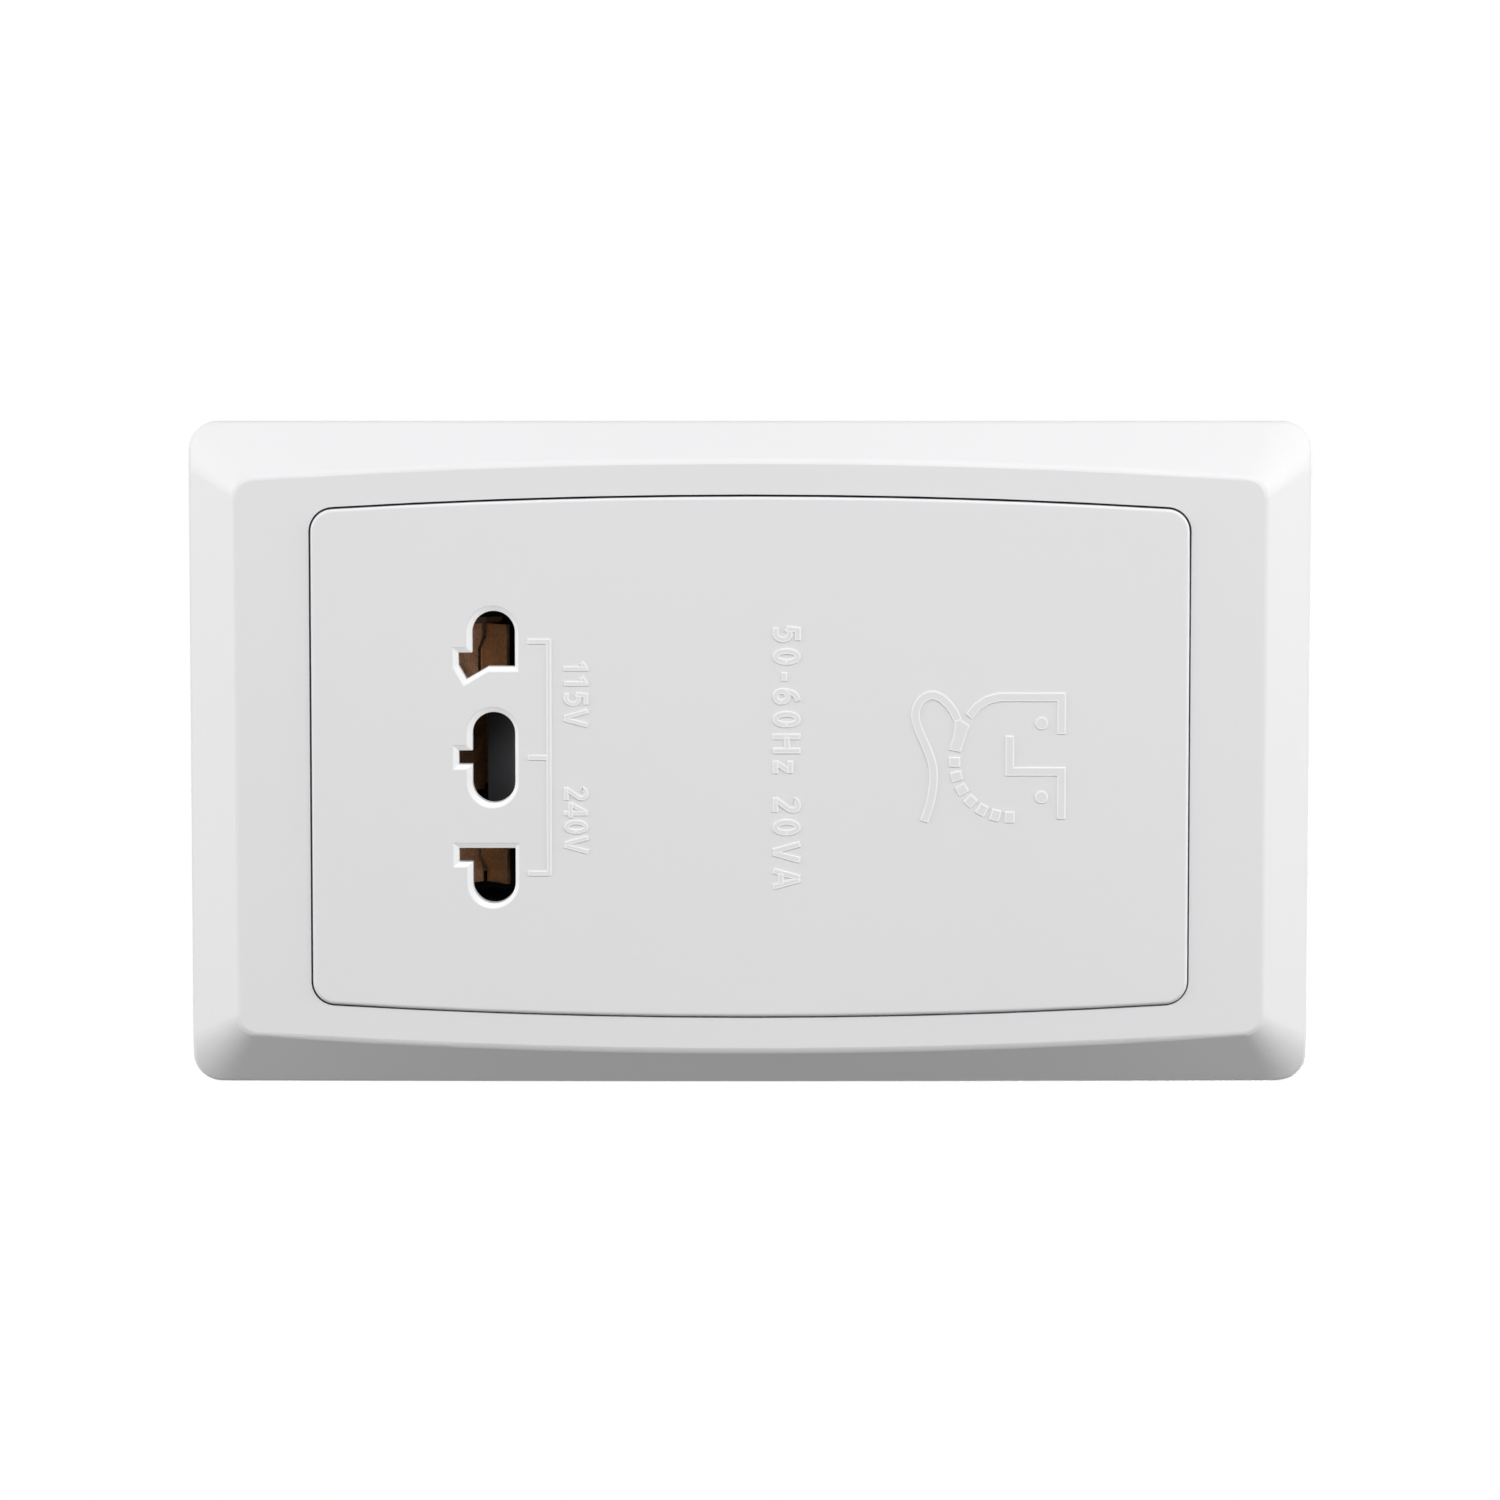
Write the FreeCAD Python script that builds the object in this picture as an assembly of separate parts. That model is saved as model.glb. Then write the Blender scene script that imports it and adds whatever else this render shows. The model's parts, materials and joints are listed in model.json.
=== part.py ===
import FreeCAD, Part
import math
import os
from FreeCAD import Vector

# Dual-voltage shaver socket for a two-gang wall box.
# Millimetres. X runs across the plate, Y runs into the wall, Z runs up.
# The origin is the middle of the plate on the wall plane.

# Surround frame
plate_width = 86.5
plate_height = 146.0
plate_corner = 3.6
lip_height = 3.2
lip_edge_round = 1.1
field_height = 9.0
bevel_side = 4.8
bevel_end = 6.3
bevel_corner = 7.0
crest_corner = 2.6
crest_round = 1.05
side_bow = 900.0
surround_wall = 2.2
opening_rim_wall = 1.2
opening_rim_gap = 0.8

# Front panel, set in the surround's opening
field_side = 4.41
field_end = 9.7
panel_gap = 0.2
panel_proud = 0.4
panel_corner = 3.0
panel_round = 0.5
panel_wall = 2.4
panel_skirt = 1.8

# Pin apertures
pin_hole = 5.54
pin_line_rise = 23.65
common_half = 3.15
wide_pin_pitch = 19.4
blade_pitch = 12.7
blade_slot = 1.85
blade_reach = 1.78
tilt_angle = 30.0
tilt_start = 0.66
tilt_length = 3.3
rim_width = 0.7
rim_lean = 0.18
rim_depth = 0.25

# Mounting plate behind the surround
plate_thickness = 2.6
plate_fit = 0.4
fixing_inset = 12.7
fixing_hole = 4.2
fixing_collar = 4.2
fixing_collar_height = 1.0
spigot_wall = 1.4
spigot_height = 2.2
spigot_fit = 0.3

# Snap hooks on the surround
hook_spacing = 60.0
hook_width = 8.0
hook_thickness = 1.4
hook_barb = 0.9
hook_fit = 0.25
hook_ledge = 1.3

# Rear housing
housing_wall = 2.0
housing_depth = 37.0
step_depth = 20.0
step_rise = 3.15
housing_round = 2.0
ear_thickness = 3.0
ear_radius = 4.2
clamp_side_gap = 2.15
clamp_end_gap = 0.5
clamp_head_gap = 0.3
vent_count = 6
vent_width = 2.0
vent_length = 22.0
vent_pitch = 4.6
side_vent_length = 15.0

# Screws
screw_radius = 1.45
screw_fit = 0.06
screw_head_radius = 2.7
screw_head_height = 1.8
screw_slot = 0.8
screw_head_chamfer = 0.6
boss_radius = 2.8
boss_floor = 1.0

# Contact carrier and its cover
chamber_wall = 1.6
chamber_side = 0.45
common_chamber_side = 1.3
chamber_low = 1.5
chamber_high = 2.35
carrier_front_wall = 1.6
carrier_hole_fit = 0.35
carrier_ear_reach = 5.6
carrier_ear_height = 8.0
carrier_ear_gap = 1.2
carrier_ear_thickness = 2.2
carrier_ear_back = 5.7
carrier_screw_inset = 2.8
cover_thickness = 1.6
cover_lead_gap = 0.4
stake_radius = 0.7
stake_height = 0.5

# Contact clips
clip_strip = 0.5
clip_gap = 0.5
clip_drop = 1.5
clip_wave = 0.65
flare_high = 3.2
flare_low = 3.55
flare_depth = 3.4
clip_setback = 0.4
clip_belly_high = 2.2
clip_belly_low = 2.1
clip_belly_depth = 2.6
clip_seat = 1.0
clip_inner_side = 9.4
clip_side_gap = 0.3
common_clip_half = 5.2
tail_width = 3.0
tail_floor_gap = 0.2

# Start slide, its spring and the switch it works
slide_half_width = 6.4
slide_fit = 0.15
slide_front_gap = 0.2
slide_thickness = 5.6
slide_cover = 3.82
slide_length = 20.2
slide_travel = 3.6
ramp_length = 4.2
ramp_depth = 4.4
groove_floor = 1.5
groove_end_wall = 1.7
cam_slope = 0.3
cam_lift = 0.15
spring_radius = 1.85
spring_wire = 0.5
spring_turns = 5
spring_length = 10.0
spring_offset = 0.6
spring_peg_radius = 1.2
spring_peg_length = 2.6
plunger_radius = 1.2
plunger_tip_radius = 0.5
plunger_offset = 2.0
plunger_gap = 0.1
switch_length = 20.0
switch_depth = 10.0
switch_thickness = 6.4
switch_pin_radius = 1.2
switch_pin_inset = 2.6
cradle_wall = 1.5
cradle_fit = 0.1
cradle_height = 7.5
tag_width = 3.0
tag_thickness = 0.6
tag_length = 5.5
tag_spacing = 12.0
tag_eye_radius = 0.7
tag_eye_inset = 1.6

# Transformer
core_width = 48.0
core_leg = 16.0
core_yoke = 8.0
core_top_gap = 6.0
core_channel_gap = 1.3
bolt_edge = 4.0
core_hole_fit = 0.35
bobbin_wall = 1.0
bobbin_fit = 0.2
bobbin_flange = 1.2
bobbin_end_fit = 0.4
winding_build = 6.4
coil_front_gap = 1.6
coil_rear_gap = 2.3
flange_rim = 0.6
winding_corner = 3.0
flange_corner = 1.0
primary_pin_x = 8.0
secondary_pin_inset = 0.7
bobbin_pin_radius = 0.5
bobbin_pin_length = 4.0
cutout_width = 12.0
cutout_end_gap = 0.5
cutout_thickness = 2.3
cutout_round = 0.6

# Insulated leads inside the housing
lead_radius = 0.8
lead_lane = 4.0
lead_bend = 2.4
lead_side_gap = 1.2
lead_row_gap = 1.6

# Mains terminals on the step of the rear housing
terminal_pitch = 14.0
terminal_width = 7.0
terminal_length = 9.0
terminal_height = 8.0
terminal_bore = 3.5
terminal_bore_rise = 3.4
terminal_screw_gap = 0.3
terminal_screw_head = 2.4
terminal_lift = 2.0
terminal_inset = 2.4
block_wall = 1.6
block_height = 10.0
block_fit = 0.15
leg_width = 3.0
leg_thickness = 0.8
leg_reach = 4.0
leg_fit = 0.15

# Two points nearer than this are one
tolerance = 0.001


def bow_drop(z):
    """How far a bowed side has come in from its middle, at height z."""
    return side_bow - math.sqrt(side_bow ** 2 - z ** 2)


# Planes and positions that follow from the sizes above
crest_half_width = plate_width / 2 - bevel_side
crest_half_height = plate_height / 2 - bevel_end
opening_half_width = crest_half_width - field_side
opening_half_height = crest_half_height - field_end
panel_half_width = opening_half_width - panel_gap
panel_half_height = opening_half_height - panel_gap
skirt_half_width = panel_half_width - panel_skirt
skirt_half_height = panel_half_height - panel_skirt
spigot_half_width = skirt_half_width - spigot_fit
spigot_half_height = skirt_half_height - spigot_fit
fixing_z = plate_height / 2 - fixing_inset
clamp_z = spigot_half_height - spigot_wall - clamp_end_gap - boss_radius
clamp_x = spigot_half_width - bow_drop(clamp_z) - spigot_wall - clamp_side_gap - boss_radius

field_y = -field_height
field_back_y = field_y + surround_wall
panel_front_y = field_y - panel_proud
panel_back_y = panel_front_y + panel_wall
plate_front_y = -plate_thickness
rim_back_y = plate_front_y - fixing_collar_height - opening_rim_gap
step_floor_y = step_depth - housing_wall
lead_y = step_floor_y - leg_reach + lead_radius

pin_radius = pin_hole / 2
pin_line = pin_line_rise - panel_half_height
outer_pin_x = wide_pin_pitch - common_half
slot_bottom = pin_line - pin_radius - blade_reach
blade_edge = blade_pitch - blade_slot / 2
clip_line = pin_line - clip_drop

chamber_bottom = slot_bottom - chamber_low
chamber_top = pin_line + pin_radius + chamber_high
chamber_outer_x = outer_pin_x + pin_radius + chamber_side
chamber_common_x = common_half + pin_radius + common_chamber_side
carrier_half_width = chamber_outer_x + chamber_wall
carrier_bottom = chamber_bottom - chamber_wall
carrier_top = chamber_top + chamber_wall
cover_back_y = lead_y - lead_radius - cover_lead_gap
carrier_back_y = cover_back_y - cover_thickness
carrier_ear_y = panel_back_y + carrier_ear_back
chamber_inner_x = clip_inner_side - clip_side_gap
carrier_screw_x = carrier_half_width + carrier_screw_inset
carrier_ear_x = carrier_half_width + carrier_ear_reach

slide_front_y = panel_back_y + slide_front_gap
slide_back_y = slide_front_y + slide_thickness
slide_bottom = pin_line + pin_radius - slide_cover
slide_top = slide_bottom + slide_length
groove_top = slide_top + spring_length
groove_back_y = slide_back_y + slide_front_gap
groove_half_width = slide_half_width + slide_fit
channel_back_y = groove_back_y + groove_floor
channel_half_width = groove_half_width + chamber_wall
channel_top = groove_top + groove_end_wall
spring_y = (slide_front_y + slide_back_y) / 2 - spring_offset
plunger_z = slide_top - plunger_offset
cam_foot_y = slide_back_y - cam_slope * slide_travel - cam_lift
plunger_travel = cam_slope * slide_travel
plunger_tip_y = cam_foot_y + plunger_gap + cam_slope * plunger_tip_radius
switch_back_y = channel_back_y + switch_depth
switch_half_length = switch_length / 2
switch_bottom = plunger_z - switch_thickness / 2
switch_top = plunger_z + switch_thickness / 2

inner_half_width = max(core_width / 2 + lead_lane, carrier_ear_x + carrier_ear_gap)
housing_half_width = inner_half_width + housing_wall
housing_top = clamp_z - screw_head_radius - clamp_head_gap
housing_bottom = -housing_top
inner_top = housing_top - housing_wall
inner_bottom = housing_bottom + housing_wall
housing_floor_y = housing_depth - housing_wall
step_line = pin_line + step_rise

winding_front_y = panel_back_y + coil_front_gap + cutout_thickness
winding_outer_y = (housing_floor_y - coil_rear_gap - flange_rim - winding_front_y) / 2
winding_inner_y = winding_outer_y - winding_build
bobbin_inner_y = winding_inner_y - bobbin_wall
core_stack = 2 * (bobbin_inner_y - bobbin_fit)
core_mid_y = winding_front_y + winding_outer_y
core_front_y = core_mid_y - core_stack / 2
core_back_y = core_mid_y + core_stack / 2
core_seat = housing_floor_y - core_back_y
core_top = inner_top - core_top_gap
core_bottom = channel_top + core_channel_gap
core_height = core_top - core_bottom
core_middle = (core_top + core_bottom) / 2
core_window = (core_width - 2 * core_leg) / 2
bolt_x = core_width / 2 - bolt_edge
bolt_z = core_height / 2 - bolt_edge
bobbin_inner_x = core_leg / 2 + bobbin_fit
winding_inner_x = bobbin_inner_x + bobbin_wall
winding_outer_x = core_leg / 2 + core_window - bobbin_end_fit - flange_rim
bobbin_half_height = core_height / 2 - core_yoke - bobbin_end_fit
winding_height = (2 * bobbin_half_height - 3 * bobbin_flange) / 2
cutout_height = winding_height - 2 * cutout_end_gap
cutout_z = core_middle + bobbin_half_height - bobbin_flange - winding_height / 2
secondary_pin_x = winding_outer_x - secondary_pin_inset
bobbin_pin_y = core_mid_y + winding_outer_y + flange_rim - 2 * bobbin_pin_radius

terminal_floor_y = step_depth + terminal_lift
terminal_back_y = terminal_floor_y + terminal_height
terminal_bore_y = terminal_floor_y + terminal_bore_rise
terminal_bottom = housing_bottom + terminal_inset
terminal_top = terminal_bottom + terminal_length
terminal_x = [-terminal_pitch, 0.0, terminal_pitch]
block_half_width = terminal_pitch + terminal_width / 2 + block_fit + block_wall
leg_z = terminal_bottom + leg_thickness

lead_leg_z = leg_z + leg_thickness / 2 + lead_radius
lead_side_x = inner_half_width - lead_side_gap - lead_radius
lead_front_y = winding_front_y - cutout_thickness / 2
lead_front_x = winding_outer_x + flange_rim + lead_row_gap + lead_radius
lead_top_z = core_middle + core_height / 2 + lead_row_gap + lead_radius
lead_low_z = step_line + housing_wall + lead_row_gap + 2 * lead_radius
primary_pin_end = core_middle + bobbin_half_height + bobbin_pin_length
secondary_pin_end = core_middle - bobbin_half_height - bobbin_pin_length
tag_side_x = (tag_spacing + tag_width) / 2


# Basic solids
def box(x0, x1, y0, y1, z0, z1):
    return Part.makeBox(x1 - x0, y1 - y0, z1 - z0, Vector(x0, y0, z0))


def rod_y(x, z, y0, y1, radius):
    return Part.makeCylinder(radius, y1 - y0, Vector(x, y0, z), Vector(0, 1, 0))


def rod_z(x, y, z0, z1, radius):
    return Part.makeCylinder(radius, z1 - z0, Vector(x, y, z0), Vector(0, 0, 1))


def fuse_all(solids):
    joined = solids[0].fuse(solids[1:]) if len(solids) > 1 else solids[0]
    return joined.removeSplitter()


def line(a, b):
    return Part.LineSegment(a, b).toShape()


def arc(a, through, b):
    return Part.Arc(a, through, b).toShape()


# Plate outlines in a plane of constant Y, eight edges each, started at the same corner
def straight_outline(half_width, half_height, corner, y):
    inner_x = half_width - corner
    inner_z = half_height - corner
    bend = corner * math.sqrt(0.5)
    edges = []
    for sx, sz in ((1, 1), (-1, -1)):
        foot = Vector(sx * half_width, y, -sz * inner_z)
        head = Vector(sx * half_width, y, sz * inner_z)
        over = Vector(sx * inner_x, y, sz * half_height)
        far = Vector(-sx * inner_x, y, sz * half_height)
        down = Vector(-sx * half_width, y, sz * inner_z)
        near_mid = Vector(sx * (inner_x + bend), y, sz * (inner_z + bend))
        far_mid = Vector(-sx * (inner_x + bend), y, sz * (inner_z + bend))
        edges += [line(foot, head), arc(head, near_mid, over), line(over, far), arc(far, far_mid, down)]
    return Part.Wire(edges)


def bowed_outline(half_width, half_height, corner, y):
    bow_centre = half_width - side_bow
    centre_z = half_height - corner
    reach = side_bow - corner
    centre_x = bow_centre + math.sqrt(reach ** 2 - centre_z ** 2)
    lean = Vector((centre_x - bow_centre) / reach, 0, centre_z / reach)
    middle = (lean + Vector(0, 0, 1)).normalize()
    edges = []
    for sx, sz in ((1, 1), (-1, -1)):

        def spot(direction, side):
            x = side * (centre_x + corner * direction.x)
            return Vector(x, y, sz * (centre_z + corner * direction.z))

        head = spot(lean, sx)
        foot = Vector(head.x, y, -head.z)
        over = spot(Vector(0, 0, 1), sx)
        far = spot(Vector(0, 0, 1), -sx)
        down = spot(lean, -sx)
        edges += [
            arc(foot, Vector(sx * half_width, y, 0), head),
            arc(head, spot(middle, sx), over),
            line(over, far),
            arc(far, spot(middle, -sx), down),
        ]
    return Part.Wire(edges)


def slab(outline, depth):
    return Part.Face(outline).extrude(Vector(0, depth, 0))


def edges_at(shape, y):
    return [e for e in shape.Edges if all(abs(v.Point.y - y) < tolerance for v in e.Vertexes)
            and abs(e.CenterOfMass.y - y) < tolerance]


def bowed_slab(half_width, half_height, corner, y0, y1):
    return slab(bowed_outline(half_width, half_height, corner, y0), y1 - y0)


# Aperture outlines, drawn with u pointing away from the middle hole
def ring_of(points, arcs, side, y):
    """Closed wire through (u, z) points; arcs maps an edge's index to the point it bows through."""
    spots = [Vector(side * u, y, z) for u, z in points]
    edges = []
    for i, start in enumerate(spots):
        end = spots[(i + 1) % len(spots)]
        if i in arcs:
            u, z = arcs[i]
            edges.append(arc(start, Vector(side * u, y, z), end))
        else:
            edges.append(line(start, end))
    return Part.Wire(edges)


def outer_aperture(side, tilted, grow, drop, y):
    low = slot_bottom - grow - drop
    shelf = pin_line - pin_radius - grow - drop
    high = pin_line + pin_radius + grow - drop
    edge = blade_edge - grow
    slot_side = blade_edge + blade_slot + grow
    bow = (outer_pin_x + pin_radius + grow, pin_line - drop)
    points = [(slot_side, low), (slot_side, shelf), (outer_pin_x, shelf), (outer_pin_x, high), (edge, high)]
    if not tilted:
        return ring_of(points + [(edge, low)], {2: bow}, side, y)
    tilt = math.radians(tilt_angle)
    sine, cosine = math.sin(tilt), math.cos(tilt)
    top_z = pin_line - tilt_start - drop
    bend = grow * math.tan(tilt / 2)
    elbow = (edge, top_z + grow * sine - bend * cosine)
    tip_u = blade_edge - tilt_length * sine - grow * (cosine + sine)
    tip_z = top_z - tilt_length * cosine + grow * (sine - cosine)
    foot_u = tip_u + (tip_z - low) / sine * cosine
    return ring_of(points + [elbow, (tip_u, tip_z), (foot_u, low)], {2: bow}, side, y)


def common_aperture(grow, drop, y):
    low = slot_bottom - grow - drop
    shelf = pin_line - pin_radius - grow - drop
    high = pin_line + pin_radius + grow - drop
    slot_side = blade_slot / 2 + grow
    reach = common_half + pin_radius + grow
    points = [
        (-slot_side, low), (slot_side, low), (slot_side, shelf), (common_half, shelf),
        (common_half, high), (-common_half, high), (-common_half, shelf), (-slot_side, shelf),
    ]
    return ring_of(points, {3: (reach, pin_line - drop), 5: (-reach, pin_line - drop)}, 1, y)


def aperture_outlines(grow, drop, y):
    return [
        outer_aperture(-1, True, grow, drop, y),
        common_aperture(grow, drop, y),
        outer_aperture(1, False, grow, drop, y),
    ]


def aperture_cutters(grow, y0, y1):
    return [slab(wire, y1 - y0) for wire in aperture_outlines(grow, 0, y0)]


# Fasteners
def slotted_screw(x, z, head_y, length):
    """Screw along Y whose head rests on head_y. A negative length drives it towards the room."""
    way = Vector(0, math.copysign(1, length), 0)
    seat = Vector(x, head_y, z)
    top = seat - way * screw_head_height
    rim = top + way * screw_head_chamfer
    crown = Part.makeCone(screw_head_radius - screw_head_chamfer, screw_head_radius, screw_head_chamfer, top, way)
    band = Part.makeCylinder(screw_head_radius, screw_head_height - screw_head_chamfer, rim, way)
    shank = Part.makeCylinder(screw_radius, abs(length), seat, way)
    low, high = sorted((top.y, top.y + way.y * screw_head_height / 2))
    slot = box(x - screw_head_radius, x + screw_head_radius, low, high, z - screw_slot / 2, z + screw_slot / 2)
    return fuse_all([crown, band, shank]).cut(slot)


def clamp_spots():
    return [(sx * clamp_x, sz * clamp_z) for sx in (-1, 1) for sz in (-1, 1)]


def bolt_spots():
    return [(sx * bolt_x, core_middle + sz * bolt_z) for sx in (-1, 1) for sz in (-1, 1)]


# Visible mouldings
def hook_spots():
    return [(sx, sz * hook_spacing / 2) for sx in (-1, 1) for sz in (-1, 1)]


hook_root_x = opening_half_width - bow_drop(hook_spacing / 2) + opening_rim_wall - hook_thickness / 2
hook_tip_y = -hook_fit


def make_hook(side, z):
    """Snap hook that hangs from the surround's field and catches under the mounting plate's ledge."""
    barb_y = -hook_ledge + hook_fit / 2
    near, far = hook_root_x, hook_root_x + hook_thickness
    profile = [
        (near, field_back_y), (far, field_back_y), (far, barb_y), (far + hook_barb, barb_y),
        (far, hook_tip_y), (near, hook_tip_y),
    ]
    corners = [Vector(side * x, y, z - hook_width / 2) for x, y in profile]
    return Part.Face(Part.makePolygon(corners + corners[:1])).extrude(Vector(0, 0, hook_width))


def lip_edges(skin):
    """Edges where the bevel meets the plate's upright sides."""
    def upright(face):
        return all(abs(face.normalAt(u, v).y) < tolerance for u in face.ParameterRange[:2]
                   for v in face.ParameterRange[2:])
    sides = [face for face in skin.Faces if upright(face)]
    return [e for face in sides for e in face.Edges if max(v.Point.y for v in e.Vertexes) < -tolerance
            and not any(e.isSame(other) for side in sides if not side.isSame(face) for other in side.Edges)]


def make_surround_frame():
    base = straight_outline(plate_width / 2, plate_height / 2, plate_corner, 0)
    spread = lip_height / (field_height - lip_height)
    foot = straight_outline(plate_width / 2 + bevel_side * spread, plate_height / 2 + bevel_end * spread,
                            bevel_corner, 0)
    crest = bowed_outline(crest_half_width, crest_half_height, crest_corner, field_y)
    skin = slab(base, field_y).common(Part.makeLoft([foot, crest], True, True))
    skin = skin.makeFillet(crest_round, edges_at(skin, field_y))
    skin = skin.makeFillet(lip_edge_round, lip_edges(skin))
    inner = [plate_width / 2 - surround_wall, plate_height / 2 - surround_wall, plate_corner - surround_wall / 2]
    mouth = straight_outline(*inner, 0)
    shoulder = straight_outline(*inner, -lip_height)
    ceiling = bowed_outline(crest_half_width - surround_wall / 2, crest_half_height - surround_wall / 2,
                            crest_corner - surround_wall / 2, field_back_y)
    hollow = fuse_all([slab(mouth, -lip_height), Part.makeLoft([shoulder, ceiling], True, True)])
    opening = [opening_half_width, opening_half_height, panel_corner + panel_gap]
    rim = bowed_slab(*[size + opening_rim_wall for size in opening], field_back_y, rim_back_y)
    hooks = [make_hook(side, z) for side, z in hook_spots()]
    shell = fuse_all([skin.cut(hollow), rim])
    shell = shell.cut(bowed_slab(*opening, panel_front_y, 0))
    return fuse_all([shell] + hooks)


def make_front_panel():
    outline = [panel_half_width, panel_half_height, panel_corner]
    body = bowed_slab(*outline, panel_front_y, plate_front_y)
    body = body.makeFillet(panel_round, edges_at(body, panel_front_y))
    hollow = bowed_slab(skirt_half_width, skirt_half_height, panel_corner - panel_skirt / 2,
                        panel_back_y, plate_front_y)
    bosses = [rod_y(x, z, panel_back_y, plate_front_y, boss_radius) for x, z in clamp_spots()]
    bosses += [rod_y(side * carrier_screw_x, pin_line, panel_back_y, carrier_ear_y - carrier_ear_thickness,
                     screw_head_radius) for side in (-1, 1)]
    pilots = [rod_y(x, z, panel_back_y + boss_floor, plate_front_y, screw_radius + screw_fit)
              for x, z in clamp_spots()]
    pilots += [rod_y(side * carrier_screw_x, pin_line, panel_back_y + boss_floor,
                     carrier_ear_y, screw_radius + screw_fit) for side in (-1, 1)]
    panel = fuse_all([body.cut(hollow)] + bosses).cut(pilots)
    rims = aperture_outlines(rim_width, rim_lean, panel_front_y)
    throats = aperture_outlines(0, 0, panel_front_y + rim_depth)
    lead_ins = [Part.makeLoft([rim, throat], True, True) for rim, throat in zip(rims, throats)]
    return panel.cut(lead_ins + aperture_cutters(0, panel_front_y + rim_depth, panel_back_y))


def make_mounting_plate():
    half_width = plate_width / 2 - surround_wall - plate_fit
    half_height = plate_height / 2 - surround_wall - plate_fit
    sheet = slab(straight_outline(half_width, half_height, plate_corner - surround_wall / 2, plate_front_y),
                 plate_thickness)
    spigot_outer = [spigot_half_width, spigot_half_height, panel_corner - panel_skirt / 2]
    spigot_y = plate_front_y - spigot_height
    spigot = bowed_slab(*spigot_outer, spigot_y, plate_front_y)
    spigot = spigot.cut(bowed_slab(spigot_outer[0] - spigot_wall, spigot_outer[1] - spigot_wall,
                                   spigot_outer[2], spigot_y, plate_front_y))
    fixings = [(0, side * fixing_z) for side in (-1, 1)]
    collars = [rod_y(x, z, plate_front_y - fixing_collar_height, plate_front_y, fixing_collar) for x, z in fixings]
    clear_of_skirt = bowed_slab(opening_half_width, opening_half_height, panel_corner + panel_gap,
                                plate_front_y - fixing_collar_height, plate_front_y)
    plate = fuse_all([sheet, spigot] + [collar.cut(clear_of_skirt) for collar in collars])
    window = box(-inner_half_width, inner_half_width, spigot_y, 0, inner_bottom, inner_top)
    holes = [rod_y(x, z, plate_front_y - fixing_collar_height, 0, fixing_hole / 2) for x, z in fixings]
    holes += [rod_y(x, z, plate_front_y, 0, screw_radius + 2 * screw_fit) for x, z in clamp_spots()]
    slots = []
    for side, z in hook_spots():
        near = hook_root_x - hook_fit
        throat = hook_root_x + hook_thickness + hook_fit
        pocket = throat + hook_barb
        half = hook_width / 2 + hook_fit
        for reach, front in ((throat, plate_front_y), (pocket, -hook_ledge)):
            low, high = sorted((side * near, side * reach))
            slots.append(box(low, high, front, 0, z - half, z + half))
    return plate.cut([window] + holes + slots)


# Rear housing with its step for the mains terminals
def vent_heights():
    first = core_middle - vent_pitch * (vent_count - 1) / 2
    return [first + vent_pitch * i for i in range(vent_count)]


def make_rear_housing():
    deep = box(-housing_half_width, housing_half_width, 0, housing_depth, step_line, housing_top)
    step = box(-housing_half_width, housing_half_width, 0, step_depth, housing_bottom, step_line)
    shell = fuse_all([deep, step])
    rounded = [e for e in shell.Edges if e.BoundBox.YMin > housing_depth - tolerance
               or (e.BoundBox.YMin > step_depth - tolerance
                   and not (e.BoundBox.ZMin > step_line - tolerance and e.BoundBox.ZMax < step_line + tolerance))]
    rounded += [e for e in shell.Edges if e.BoundBox.YMin < tolerance and e.BoundBox.YLength > step_depth - tolerance
                and e.BoundBox.XLength < tolerance and e.BoundBox.ZLength < tolerance]
    shell = shell.makeFillet(housing_round, rounded)
    inner_step = step_line + housing_wall
    hollow = fuse_all([
        box(-inner_half_width, inner_half_width, 0, housing_floor_y, inner_step, inner_top),
        box(-inner_half_width, inner_half_width, 0, step_floor_y, inner_bottom, inner_step),
    ])
    ears = []
    for x, z in clamp_spots():
        reach = math.copysign(housing_top - housing_wall, z)
        ears.append(rod_y(x, z, 0, ear_thickness, ear_radius))
        ears.append(box(x - ear_radius, x + ear_radius, 0, ear_thickness, min(z, reach), max(z, reach)))
    bosses = [rod_y(x, z, core_back_y, housing_floor_y, boss_radius) for x, z in bolt_spots()]
    holes = [rod_y(x, z, 0, ear_thickness, screw_radius + 2 * screw_fit) for x, z in clamp_spots()]
    pilots = [rod_y(x, z, core_back_y, housing_floor_y - boss_floor, screw_radius + screw_fit)
              for x, z in bolt_spots()]
    vents = [box(-vent_length / 2, vent_length / 2, housing_floor_y, housing_depth,
                 z - vent_width / 2, z + vent_width / 2) for z in vent_heights()]
    vents += [box(-housing_half_width, housing_half_width, core_mid_y - side_vent_length / 2,
                  core_mid_y + side_vent_length / 2, z - vent_width / 2, z + vent_width / 2)
              for z in vent_heights()]
    leg_slots = [box(x - leg_width / 2 - leg_fit, x + leg_width / 2 + leg_fit, step_floor_y, step_depth,
                     leg_z - leg_thickness / 2 - leg_fit, leg_z + leg_thickness / 2 + leg_fit) for x in terminal_x]
    walls = fuse_all([shell.cut(hollow)] + ears)
    return fuse_all([walls.cut(vents + leg_slots)] + bosses).cut(holes + pilots)


def make_housing_screws():
    length = ear_thickness + plate_thickness + (plate_front_y - panel_back_y) - boss_floor - screw_fit
    return Part.Compound([slotted_screw(x, z, ear_thickness, -length) for x, z in clamp_spots()])


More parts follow.
